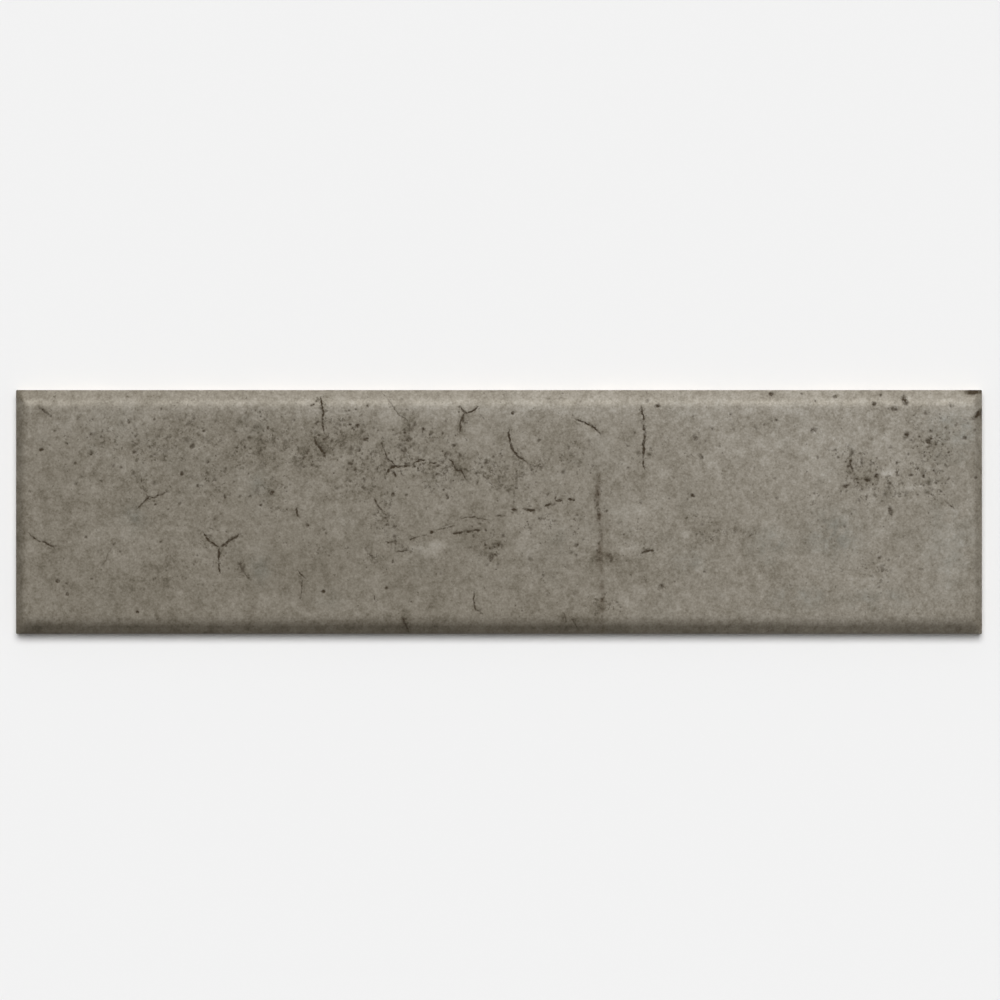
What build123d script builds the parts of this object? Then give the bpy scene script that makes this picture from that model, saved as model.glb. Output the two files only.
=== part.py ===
"""Ceramic wall tile: one pressed and fired piece with a cushion edge and a keyed back.

The tile lies face up. X runs along its length, Y across its width, and Z from the
back, on which it rests, up to the glazed face. The origin is the middle of the back.
Sizes are in millimetres and angles in degrees.
"""

import os
from math import cos, radians, sin, tan

from build123d import *

# Outline of the fired tile, and its thickness from the ribs of the back to the face.
length = 297.0
width = 75.0
thickness = 8.5

# Cushion edge. The face rolls over into a flat bevel, which meets the upright side a
# little below the face. The long sides roll over more gently than the two ends, whose
# bevel is steeper and narrower.
edge_drop = 1.8
side_bevel_angle = 25.0
side_roll_radius = 8.0
end_bevel_angle = 36.0
end_roll_radius = 3.0

# One small round for the arris between bevel and side and for the upright corners. The
# outer edge of the back is eased a little less, as the press leaves it.
arris_radius = 0.35
back_easing = 0.25

# Keyed back. Square pockets with cut corners and sloping walls leave a grid of raised
# ribs, which the adhesive grips. A plain margin runs round the outside of the grid.
pocket_size = 10.6
pocket_corner_cut = 1.2
pocket_depth = 0.8
pocket_draft = 25.0
rib_width = 2.4
least_margin = 5.0


def cushion_section(plane, span, bevel_angle, roll_radius):
    """Section across the tile: flat back, upright sides, bevels, rolls and flat face."""
    slope = radians(bevel_angle)
    roll_drop = roll_radius * (1 - cos(slope))
    roll_run = roll_radius * sin(slope)
    bevel_run = (edge_drop - roll_drop) / tan(slope)

    side = span / 2
    arris = (side, thickness - edge_drop)
    shoulder = (side - bevel_run, thickness - roll_drop)
    face_edge = (side - bevel_run - roll_run, thickness)

    with BuildSketch(plane) as section:
        with BuildLine():
            Polyline((0, 0), (side, 0), arris, shoulder)
            RadiusArc(shoulder, face_edge, -roll_radius)
            Line(face_edge, (0, thickness))
            mirror(about=Plane.YZ)
        make_face()
    return section.sketch


def pockets_along(span):
    """How many pockets fit along a side and still leave the least margin at each end."""
    return int((span - 2 * least_margin + rib_width) // (pocket_size + rib_width))


with BuildSketch() as pocket:
    Rectangle(pocket_size, pocket_size)
    chamfer(pocket.vertices(), length=pocket_corner_cut)

with BuildPart() as tile:
    # Body: the section across the width, crossed with the section along the length.
    across = cushion_section(Plane.YZ, width, side_bevel_angle, side_roll_radius)
    extrude(across, amount=length / 2, both=True)
    along = cushion_section(Plane.XZ, length, end_bevel_angle, end_roll_radius)
    extrude(along, amount=width / 2, both=True, mode=Mode.INTERSECT)

    # The arris is the top edge of the sides, all the way round. It is rounded in one go
    # with the upright corners that it meets.
    sides = tile.faces().filter_by(lambda face: abs(face.normal_at().Z) < 0.01)
    arris = sides.edges().filter_by(lambda edge: edge.bounding_box().min.Z > thickness / 2)
    fillet(arris + tile.edges().filter_by(Axis.Z), radius=arris_radius)

    # Eased outer edge of the back.
    back = tile.faces().sort_by(Axis.Z)[0]
    chamfer(back.outer_wire().edges(), length=back_easing)

    # The pockets sink upwards into the back and narrow towards their floors.
    with BuildSketch(Plane.XY):
        pitch = pocket_size + rib_width
        with GridLocations(pitch, pitch, pockets_along(length), pockets_along(width)):
            add(pocket.sketch)
    extrude(amount=pocket_depth, taper=pocket_draft, mode=Mode.SUBTRACT)

tile.part.label = "tile"

os.makedirs("parts", exist_ok=True)
export_step(tile.part, "parts/tile.step")
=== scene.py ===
"""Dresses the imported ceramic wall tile: its glazed, cracked face, its sides and its keyed back.

The file is laid out as an add-on and runs as a script. Sizes in its panel are in metres.
The mesh code works in millimetres and turns them into metres when it makes the mesh.
"""

from math import ceil, cos, pi, radians, sin, sqrt, tan
from random import Random

import bmesh
import bpy
import numpy as np
from bpy.props import FloatProperty, FloatVectorProperty, IntProperty, PointerProperty
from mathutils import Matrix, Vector, noise
from mathutils.geometry import delaunay_2d_cdt


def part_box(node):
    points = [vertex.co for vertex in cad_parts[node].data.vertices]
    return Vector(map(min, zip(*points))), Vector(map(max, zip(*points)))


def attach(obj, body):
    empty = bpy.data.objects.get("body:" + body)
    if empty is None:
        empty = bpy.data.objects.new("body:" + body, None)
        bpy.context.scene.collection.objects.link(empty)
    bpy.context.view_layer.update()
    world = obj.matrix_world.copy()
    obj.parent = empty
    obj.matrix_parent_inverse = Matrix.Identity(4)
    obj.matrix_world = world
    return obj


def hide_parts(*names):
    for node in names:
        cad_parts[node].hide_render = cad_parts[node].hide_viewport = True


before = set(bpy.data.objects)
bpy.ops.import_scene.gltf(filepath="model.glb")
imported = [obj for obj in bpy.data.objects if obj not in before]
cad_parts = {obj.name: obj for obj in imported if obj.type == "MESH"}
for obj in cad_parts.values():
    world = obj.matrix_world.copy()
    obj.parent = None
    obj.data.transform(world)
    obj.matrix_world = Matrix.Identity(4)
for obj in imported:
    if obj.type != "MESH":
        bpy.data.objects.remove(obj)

bl_info = {
    "name": "Ceramic Wall Tile",
    "version": (1, 0, 0),
    "blender": (4, 5, 0),
    "location": "3D View > Sidebar > Wall Tile",
    "description": "Makes a wall tile with a cushion edge, a cracked concrete-look glaze and a keyed back",
    "category": "Add Mesh",
}

MM = 0.001
TILE_LOW, TILE_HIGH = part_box("tile")

# Places on the face are read from the photograph, in its pixels: the photograph's side, the
# tile's middle there, and the millimetres of the face that one pixel covers.
PHOTO_SIDE = 1000
PHOTO_MIDDLE = (499.0, 512.0)
MM_PER_PIXEL = 0.30745

# Cracks. Each is its strength, its width in millimetres and its route in the photograph.
# The width is that of the dark line. The groove is wider by CRACK_SPREAD, because it fades
# towards its rims, and CRACK_LIFT keeps weak cracks from fading out of sight.
CRACK_SPREAD = 1.6
CRACK_LIFT = 0.75
CRACKS = (
    # Left third.
    (0.5, 0.8, ((38, 406), (44, 411), (50, 416))),
    (0.75, 0.5, ((29, 533), (35, 538), (40, 541.5), (46.5, 543), (52, 546), (59, 546.5))),
    (0.8, 0.5, ((136, 510), (141, 505), (145.5, 501), (148.5, 497), (153, 498), (158, 495), (169, 492))),
    (0.35, 0.4, ((148.5, 497), (145.5, 492), (142, 484), (140, 474))),
    (0.3, 0.5, ((118, 539), (110.5, 549), (106, 560), (99, 571))),
    (1.0, 0.6, ((219.5, 548), (226, 543), (231, 540), (236, 537), (240.5, 534))),
    (0.8, 0.55, ((219.5, 548), (214, 544), (209, 541), (205, 534.5), (203, 531))),
    (1.0, 0.65, ((219.5, 547), (219, 554), (219, 560))),
    (0.85, 0.5, ((219, 562), (219.5, 567), (221, 574))),
    (0.45, 0.5, ((239.5, 564), (243, 571), (249, 578))),
    (0.95, 0.55, ((320, 396), (321.5, 404), (323.5, 412), (322.5, 421), (323.5, 428), (325, 434))),
    (1.0, 0.65, ((314.5, 437), (315.5, 443), (320, 448.5), (325, 456), (327, 459))),
    (0.7, 0.7, ((296.5, 508), (298, 515), (299, 518))),
    (0.55, 0.45, ((297.5, 568.5), (303.5, 577.5), (307, 579))),
    (0.5, 0.5, ((303.5, 578), (302, 587), (300, 600))),
    # Middle third, upper half.
    (0.45, 0.4, ((387, 398), (392, 406), (399, 415), (406, 419), (409, 424.5), (410, 431))),
    (1.0, 0.65, ((386, 476), (389, 470.5), (392.5, 467), (396, 465.8), (403, 466.5), (412, 466))),
    (0.6, 0.5, ((411, 466), (414, 463.5), (416, 462))),
    (0.9, 0.6, ((415.5, 462), (420.5, 460.3), (426, 460.5))),
    (0.8, 0.55, ((428.5, 464.5), (431, 462.8), (437.5, 463))),
    (0.3, 0.4, ((381, 442), (384.5, 449))),
    (0.65, 0.45, ((384.5, 449), (386, 454), (387, 459), (391.5, 460.8), (393.5, 464), (395, 466))),
    (0.9, 0.6, ((392.5, 471.5), (396, 476.5))),
    (0.4, 0.5, ((400, 470), (404, 477))),
    (0.95, 0.42, ((448.5, 459.5), (452, 461.5), (454, 466), (456, 470.5), (461.5, 471), (466.5, 480.5))),
    (0.95, 0.55, ((460, 407), (465, 413), (472, 411.5), (479, 406))),
    (0.8, 0.55, ((465, 413), (461.5, 418), (460.5, 424.5), (459.5, 433))),
    (0.35, 0.4, ((479.5, 413.5), (484.5, 420))),
    (1.0, 0.7, ((510.5, 428), (509, 434), (510, 443), (513, 450.5), (518.5, 457), (526, 462))),
    (0.35, 0.5, ((526, 462), (534, 466.5), (547, 467))),
    (0.85, 0.5, ((574.5, 418.5), (579, 420.5), (582.5, 422), (589, 425), (594.5, 428), (601, 435))),
    (0.65, 0.6, ((641.5, 405), (643, 415), (643, 423))),
    (0.95, 0.75, ((643, 423), (645, 432), (644, 443), (643.5, 451.5), (642.5, 459))),
    (0.65, 0.5, ((642.5, 459), (643.5, 466.5), (645.5, 471))),
    (0.4, 0.7, ((516.5, 472), (516, 488))),
    (0.3, 0.6, ((514.5, 490), (513, 506))),
    (0.5, 0.6, ((373.5, 497), (377, 504), (383, 512), (389, 518))),
    # The dashed chain across the middle.
    (1.0, 0.8, ((511.5, 509), (516.5, 510))),
    (1.0, 0.8, ((524, 509), (529.5, 510.5), (535, 510.5))),
    (0.9, 0.75, ((544.5, 506.5), (551, 504))),
    (1.0, 0.8, ((555, 501.5), (561.5, 500))),
    (0.9, 0.7, ((567.5, 499), (574.5, 500))),
    (1.0, 0.8, ((429.5, 533), (434, 531))),
    (0.95, 0.7, ((452.5, 534), (458, 533.5), (463.5, 532.5))),
    (0.85, 0.65, ((466, 532), (473, 531), (481, 529.5))),
    (0.75, 0.65, ((409.5, 539.5), (414, 538.5), (419.5, 537))),
    (0.6, 0.6, ((387, 543), (395, 541))),
    (0.5, 0.6, ((369, 553.5), (373, 557), (378, 556))),
    (0.55, 0.55, ((395, 551.5), (402, 551), (410, 550.5))),
    (0.45, 0.5, ((437, 530), (445, 528), (456, 525.5))),
    (0.4, 0.45, ((458, 519), (471, 517), (491, 520))),
    (0.5, 0.5, ((497, 515.5), (505.5, 516.5))),
    (0.35, 0.4, ((440, 527), (449, 524), (455, 523))),
    (0.4, 0.5, ((421, 536), (427, 534.5))),
    (0.4, 0.5, ((500, 536.5), (506, 538))),
    # Lower half.
    (0.75, 0.7, ((641, 554), (647.5, 551), (655, 550))),
    (0.45, 0.5, ((373.5, 595), (375.5, 601.5))),
    (0.5, 0.6, ((474, 590), (473.5, 600), (475.5, 609), (481, 611.5), (484, 616))),
    (0.65, 0.7, ((402, 616), (405, 623), (409, 633))),
    (0.45, 0.6, ((563, 612), (566, 622))),
    (0.4, 0.6, ((571, 618), (579, 629))),
    (0.3, 0.4, ((345, 549), (350, 547))),
    # Right third.
    (0.95, 0.75, ((850.5, 459), (851, 466), (852.5, 472))),
    (0.7, 0.7, ((855, 477.5), (859, 480.5))),
    (0.8, 0.8, ((865, 481), (872, 480.5))),
    (0.8, 0.85, ((843.5, 487.5), (848.5, 485))),
    (0.45, 0.5, ((842, 490), (839.5, 495))),
    (0.35, 0.5, ((853, 473), (855, 477))),
    (0.35, 0.5, ((944.5, 501), (949, 504.5), (953, 508))),
)

# The rust-brown streak that runs down the face, in parts, as strength, width in millimetres
# and route.
STREAK = (
    (0.35, 0.9, ((599, 472), (598.5, 484))),
    (0.9, 1.2, ((598.5, 486), (597.5, 500))),
    (0.65, 1.0, ((597, 501), (598, 509))),
    (0.9, 1.2, ((598.5, 510), (598.5, 521))),
    (0.5, 1.0, ((600, 523), (601, 532), (600, 542))),
    (0.75, 1.1, ((599.5, 542), (598.5, 555))),
    (0.6, 1.0, ((599.5, 555), (601, 567))),
    (0.3, 0.6, ((601, 567), (602, 578))),
    (0.5, 0.7, ((602, 579), (601.5, 590))),
    (0.8, 1.3, ((602, 592), (602.5, 604))),
    (0.35, 0.8, ((603, 606), (602, 632))),
    (0.5, 1.2, ((596, 554), (604, 556), (612, 557.5))),
    (0.3, 0.8, ((606, 531), (608, 524))),
)

# Pits and larger dots: place in the photograph, diameter in millimetres, how much longer
# than wide, the way it points in degrees from level, and strength. The diameter is that of
# the dark middle, and the dimple is wider by PIT_SPREAD.
PIT_SPREAD = 1.65
PITS = (
    # Left third.
    (41.5, 449.5, 1.1, 1.2, 0, 1.0), (91, 453.5, 1.0, 1.2, 90, 0.9),
    (75.5, 463, 0.9, 1.5, 50, 0.75), (129, 421.5, 1.0, 1.4, 110, 0.9),
    (134.5, 452.5, 1.1, 1.2, 0, 0.75), (192.5, 446.5, 1.3, 1.2, 30, 0.95),
    (182, 473.5, 1.2, 1.3, 90, 0.85), (76, 484, 0.9, 1.2, 30, 0.75), (83, 477.5, 0.8, 1.2, 0, 0.7),
    (58, 581, 1.1, 1.2, 0, 1.0), (67, 583.5, 0.8, 1.5, 150, 0.6), (67.5, 594, 1.0, 1.2, 90, 0.95),
    (137.5, 612, 0.9, 1.0, 0, 0.95), (157.5, 619, 0.8, 1.2, 60, 0.7), (86, 537, 0.9, 1.2, 0, 0.7),
    (161, 542, 0.8, 1.0, 0, 0.75), (225, 496.5, 1.0, 1.5, 90, 0.75),
    (155.5, 504.5, 0.8, 1.2, 0, 0.7), (180, 503.5, 0.9, 1.3, 60, 0.7),
    (272, 492.5, 1.2, 1.4, 60, 0.95), (261, 505, 0.9, 1.2, 30, 0.75),
    (215, 480, 1.0, 1.3, 120, 0.8), (67, 443.5, 0.9, 1.1, 0, 0.7), (55, 431, 0.8, 1.3, 0, 0.6),
    (101, 437, 1.0, 1.8, 0, 0.55), (154.5, 419.5, 0.8, 1.2, 90, 0.6),
    (161.5, 409, 0.7, 1.3, 90, 0.65), (123.5, 425, 0.8, 1.0, 0, 0.4),
    (113.5, 466, 0.8, 1.2, 60, 0.65), (30, 491.5, 0.8, 1.0, 0, 0.6), (50, 560, 0.9, 1.0, 0, 0.4),
    (164.5, 419, 0.9, 1.1, 0, 0.6), (177, 417, 1.2, 1.2, 0, 0.35),
    (160.5, 430.5, 1.2, 1.4, 20, 0.55), (134.5, 425.5, 0.9, 1.2, 60, 0.5),
    (136.5, 429, 0.8, 1.0, 0, 0.45), (158, 436.5, 1.2, 1.4, 20, 0.4), (188, 424, 1.2, 1.4, 50, 0.6),
    (151.5, 446.5, 1.1, 2.2, 0, 0.7), (151.5, 456.5, 0.9, 1.1, 0, 0.6),
    (204, 431, 0.9, 1.2, 0, 0.75), (199.5, 434.5, 0.9, 1.2, 0, 0.55),
    (203.5, 437.5, 0.9, 1.3, 110, 0.55), (208, 462, 1.1, 1.3, 140, 0.7),
    (147, 434, 1.3, 1.3, 60, 0.35), (131.5, 437.5, 1.3, 1.6, 20, 0.35),
    (186, 578.5, 0.8, 1.2, 90, 0.6), (323.5, 591.5, 1.1, 1.1, 30, 0.95),
    (226, 553, 0.7, 1.1, 90, 0.7), (215.5, 421, 0.9, 1.1, 0, 0.55),
    (307.5, 525.5, 1.0, 1.2, 110, 0.9), (120.5, 551.5, 0.8, 1.2, 0, 0.55),
    (98.5, 551.5, 0.8, 1.2, 45, 0.55), (92, 579, 0.8, 1.3, 0, 0.55),
    (194, 564.5, 0.7, 1.4, 90, 0.5), (213.5, 566, 0.8, 1.6, 60, 0.5),
    (239.5, 564, 0.8, 1.2, 0, 0.6), (50.5, 416, 0.9, 1.1, 0, 0.8), (58, 418, 0.7, 1.4, 0, 0.45),
    (317.5, 552.5, 0.7, 1.3, 0, 0.45), (70, 611, 0.6, 1.0, 0, 0.45), (121, 587, 1.0, 1.0, 0, 0.35),
    (253.5, 607.5, 1.2, 1.4, 0, 0.45),
    # Middle third.
    (358, 426, 1.2, 1.2, 45, 0.95), (393, 494.5, 1.1, 1.2, 90, 0.95),
    (393, 561.5, 0.9, 1.3, 90, 0.8), (386.5, 588, 0.9, 1.1, 0, 0.85),
    (447.5, 498, 0.9, 1.2, 45, 0.75), (443.5, 490, 0.8, 1.0, 0, 0.65),
    (433.5, 477.5, 1.0, 1.0, 0, 0.65), (388.5, 515, 1.0, 1.6, 110, 0.8),
    (503, 536, 1.1, 1.2, 60, 0.6), (442, 462, 0.7, 1.1, 0, 0.8), (438, 465.7, 0.8, 1.3, 30, 0.9),
    (435, 467, 0.7, 1.1, 0, 0.6), (385, 470, 0.7, 1.3, 80, 0.6), (446, 456.5, 0.8, 1.1, 0, 0.6),
    (450.5, 454.5, 1.0, 1.2, 40, 0.5), (450, 466, 1.1, 1.1, 0, 0.5), (406.5, 495, 0.9, 1.1, 0, 0.6),
    (432, 492, 0.6, 2.0, 80, 0.6), (450, 488.5, 0.8, 1.2, 0, 0.5), (486, 462.8, 1.2, 1.8, 5, 0.6),
    (499, 477, 0.9, 1.4, 50, 0.5), (496, 483, 0.9, 1.4, 80, 0.5), (508, 466, 0.9, 2.0, 20, 0.5),
    (516.5, 488, 0.9, 1.2, 0, 0.6), (491.5, 557, 1.7, 1.5, 80, 0.8),
    (487, 564.5, 1.1, 1.6, 30, 0.6), (576.5, 545, 1.1, 1.2, 0, 0.8),
    (572, 552.5, 1.0, 2.0, 20, 0.55), (606.5, 511, 0.9, 1.2, 30, 0.6),
    (589.5, 441, 0.9, 1.5, 120, 0.5), (657.5, 406, 1.2, 1.8, 170, 0.95),
    (575, 593.5, 1.5, 1.1, 90, 0.45), (543.5, 576, 1.1, 1.8, 60, 0.45),
    (513, 413, 1.1, 1.2, 30, 0.9), (539, 440.5, 1.0, 1.3, 30, 0.7),
    (493.5, 457, 0.9, 1.4, 80, 0.55), (394, 473, 1.1, 1.5, 120, 0.8),
    (371, 454, 0.9, 1.3, 120, 0.6), (480, 524, 0.8, 1.0, 0, 0.7), (473.5, 536, 0.9, 1.3, 90, 0.7),
    (548, 399, 0.8, 1.6, 0, 0.6), (560.5, 397.5, 0.7, 1.3, 0, 0.4),
    (578.5, 463.5, 1.1, 1.6, 20, 0.5), (387.5, 525, 0.9, 1.4, 0, 0.8),
    (395.5, 541, 0.9, 1.2, 0, 0.75), (411, 551.5, 1.0, 1.4, 20, 0.55),
    (375, 563, 0.8, 1.5, 60, 0.55), (348, 548, 0.7, 1.6, 30, 0.55), (619, 523, 1.0, 1.1, 0, 0.4),
    (640.5, 500.5, 0.8, 1.2, 30, 0.45), (647.5, 401, 1.1, 1.3, 80, 0.5),
    # Right third.
    (771, 394, 1.2, 1.4, 170, 0.95), (801.5, 393.5, 0.8, 1.4, 170, 0.6),
    (835, 396.5, 1.1, 1.2, 0, 0.95), (815, 401, 0.7, 1.2, 90, 0.65), (880.5, 395, 0.9, 1.1, 0, 0.7),
    (874, 404, 1.2, 1.2, 100, 0.9), (904.4, 400, 2.0, 1.8, 100, 1.1),
    (894, 409, 1.4, 2.0, 175, 0.95), (813.5, 430, 1.4, 2.1, 20, 0.9),
    (770.5, 418.5, 0.8, 1.4, 60, 0.5), (764, 424.5, 0.8, 1.3, 60, 0.55),
    (695.5, 438.5, 1.3, 1.4, 120, 0.95), (719.5, 446.5, 0.8, 1.1, 60, 0.6),
    (701, 457, 1.2, 1.4, 160, 0.7), (692.5, 495.5, 1.2, 1.4, 160, 0.9),
    (906.5, 434.5, 1.4, 1.2, 0, 0.8), (928, 441.5, 1.4, 1.6, 130, 1.0),
    (952.5, 406, 0.8, 1.1, 0, 0.6), (964.5, 420, 0.9, 1.2, 0, 0.65),
    (955.5, 425.5, 0.9, 1.3, 40, 0.6), (964.5, 438, 1.2, 1.4, 0, 0.9),
    (974.5, 430, 0.9, 1.1, 0, 0.6), (975.5, 477.5, 1.0, 1.3, 90, 0.7),
    (941, 418.5, 0.7, 1.0, 0, 0.5), (890.3, 511, 1.6, 2.0, 105, 1.1),
    (845.5, 485.8, 1.2, 2.0, 15, 0.85), (868.5, 481, 1.2, 2.0, 0, 0.7),
    (817.5, 457.5, 0.9, 1.2, 120, 0.6), (838, 457.5, 0.9, 1.3, 160, 0.6),
    (777, 498, 0.9, 1.2, 0, 0.6), (774.5, 478.5, 0.9, 1.3, 0, 0.5),
    (844.5, 526.5, 0.8, 1.3, 160, 0.6), (883.5, 570, 1.0, 1.4, 30, 0.55),
    (881, 567, 1.4, 1.6, 40, 0.5), (661, 586, 1.5, 1.3, 0, 0.65), (898.5, 556.5, 0.7, 1.1, 0, 0.5),
    (905.5, 495, 0.9, 1.2, 90, 0.55), (704.5, 571.5, 0.9, 1.1, 0, 0.6),
    (683, 600.5, 0.8, 1.1, 0, 0.5), (791, 585, 0.9, 1.3, 0, 0.45), (669, 498.5, 0.7, 1.0, 0, 0.5),
    (907, 614, 0.9, 1.2, 90, 0.45), (824, 522, 0.7, 1.2, 60, 0.3), (855, 478, 0.9, 1.3, 60, 0.6),
)

# Dark marks where the print runs over the edge near the top right corner, as strength,
# width in millimetres and route.
CORNER_MARKS = (
    (0.85, 1.9, ((964, 391.8), (971, 393.5), (977, 393))),
    (0.95, 2.2, ((969, 391), (976, 392), (983.5, 392))),
    (0.9, 2.1, ((983.5, 409), (979, 412.5), (974, 416.5))),
    (0.6, 1.8, ((981, 413), (976, 416.5), (972, 419))),
    (0.5, 1.7, ((983.5, 415), (980.5, 418))),
    (0.35, 1.3, ((983.5, 422), (981.5, 425))),
)

# Pale scratches, as strength, width in millimetres and route.
SCRATCHES = (
    (1.0, 0.8, ((947, 506), (956, 513), (968, 518))),
    (0.9, 0.7, ((944, 509), (954, 517), (964, 521))),
    (0.45, 0.4, ((751, 567), (756, 572), (760, 579))),
    (0.4, 0.4, ((834, 548), (838, 555), (840, 562))),
    (1.0, 1.3, ((905, 484), (912, 488.5), (924, 487.5))),
    (1.0, 1.7, ((884, 473), (894, 475.5))),
    (0.6, 0.5, ((951, 424), (951, 437))),
)

# Soft patches. Each is its middle in the photograph, its half width and half height in
# pixels, where it has faded to about a third, and its strength. Washes make the glaze
# broadly lighter or darker, grime holds fine dark specks, haze darkens without specks,
# pale smears are lighter, and green patches are cooler and greener than the rest.
WASHES_AND_PAINTED_HIGHLIGHT = (
    (330, 560, 110, 40, -0.14), (120, 600, 130, 30, -0.10), (570, 402, 90, 18, 0.15),
    (760, 430, 110, 34, 0.10), (900, 420, 70, 26, 0.08), (235, 500, 60, 40, -0.06),
    (640, 600, 200, 26, -0.05), (800, 520, 60, 26, -0.04), (330, 405, 90, 12, 0.06),
    (60, 520, 30, 80, -0.05), (60, 440, 50, 50, -0.07), (490, 530, 28, 24, -0.07),
    # The two long washes along the top roll, at 409 and 419, are painted highlight that widens the sheen's
    # crest.
    (640, 525, 32, 28, 0.10), (500, 409, 700, 9, 0.14), (500, 419, 700, 15, 0.03),
    (445, 600, 50, 20, -0.05), (270, 575, 50, 30, -0.07), (300, 598, 40, 14, -0.06),
    (590, 600, 50, 14, 0.07), (346, 508, 24, 16, 0.05), (410, 460, 36, 16, -0.06),
    (484, 540, 24, 16, -0.06), (545, 430, 50, 22, 0.06), (580, 545, 20, 12, 0.07),
    (635, 542, 20, 14, 0.06), (124, 515, 30, 16, -0.06), (172, 560, 24, 20, 0.05),
    (716, 466, 40, 30, 0.06), (40, 393, 60, 8, -0.08), (442, 393, 25, 6, -0.06),
    (935, 393, 40, 7, -0.06), (60, 475, 60, 34, -0.05), (870, 420, 60, 10, 0.04),
    (950, 545, 30, 30, 0.03),
)
GRIME = (
    (150, 447, 15, 11, 0.55), (181, 426, 16, 12, 0.5), (256, 421, 15, 10, 0.8),
    (262, 450, 24, 18, 0.6), (238, 452, 16, 14, 0.5), (215, 476, 12, 12, 0.55),
    (314, 460, 14, 10, 0.6), (272, 488, 14, 12, 0.5), (277, 510, 10, 7, 0.45),
    (343, 420, 20, 11, 0.8), (349, 439, 26, 15, 0.85), (408, 427, 9, 16, 0.7),
    (436, 434, 13, 8, 0.5), (358, 473, 18, 12, 0.65), (452, 455, 9, 11, 0.75),
    (430, 468, 15, 7, 0.7), (462, 426, 8, 11, 0.75), (486, 462, 15, 7, 0.5),
    (495, 480, 16, 13, 0.55), (576, 460, 16, 12, 0.5), (382, 508, 8, 22, 0.35),
    (373, 560, 11, 8, 0.55), (389, 528, 12, 8, 0.45), (491, 548, 12, 14, 0.7),
    (560, 521, 24, 14, 0.35), (853, 467, 8, 11, 0.6), (870, 478, 12, 10, 0.8),
    (890, 492, 15, 10, 0.65), (916, 474, 22, 13, 0.75), (930, 443, 15, 10, 0.7),
    (942, 457, 13, 12, 0.65), (940, 493, 16, 8, 0.6), (713, 532, 20, 14, 0.4),
    (883, 571, 9, 8, 0.5), (320, 425, 10, 20, 0.45), (102, 437, 9, 8, 0.5), (300, 445, 16, 20, 0.4),
    (696, 445, 12, 14, 0.35), (598, 492, 7, 18, 0.4), (610, 558, 8, 4, 0.7), (602, 602, 9, 5, 0.5),
    (661, 586, 9, 8, 0.45), (519, 606, 9, 5, 0.4), (405, 618, 6, 9, 0.5), (575, 420, 40, 10, 0.15),
    (700, 500, 60, 40, 0.05), (150, 480, 60, 50, 0.15), (940, 425, 30, 20, 0.3),
    (75, 440, 30, 24, 0.25), (120, 440, 26, 24, 0.35), (205, 440, 30, 22, 0.3),
    (270, 470, 26, 26, 0.3), (217, 484, 16, 16, 0.4), (300, 492, 22, 18, 0.2),
    (395, 452, 34, 16, 0.75), (434, 486, 22, 13, 0.4), (384, 512, 11, 18, 0.45),
    (448, 474, 24, 16, 0.4), (498, 470, 26, 18, 0.35), (540, 470, 26, 22, 0.25),
    (640, 455, 22, 18, 0.35), (738, 424, 24, 10, 0.2), (864, 460, 18, 14, 0.4),
    (844, 452, 14, 12, 0.35), (868, 492, 18, 14, 0.3), (905, 425, 26, 12, 0.3),
    (360, 484, 20, 14, 0.35), (545, 510, 26, 22, 0.3), (498, 545, 24, 24, 0.25),
    (400, 545, 24, 14, 0.25), (315, 548, 20, 12, 0.35), (210, 545, 20, 22, 0.25),
    (245, 568, 12, 12, 0.35), (592, 545, 16, 16, 0.3), (637, 540, 18, 20, 0.25),
    (870, 572, 26, 14, 0.35), (545, 575, 20, 16, 0.3), (602, 606, 14, 7, 0.7),
    (815, 520, 30, 30, 0.2), (722, 535, 20, 14, 0.25), (178, 578, 24, 14, 0.25),
    (645, 572, 20, 14, 0.2), (450, 575, 40, 20, 0.15), (470, 480, 190, 50, 0.08),
    (130, 500, 90, 60, 0.08), (820, 480, 90, 50, 0.08), (770, 424, 5, 8, 0.5),
)
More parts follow.
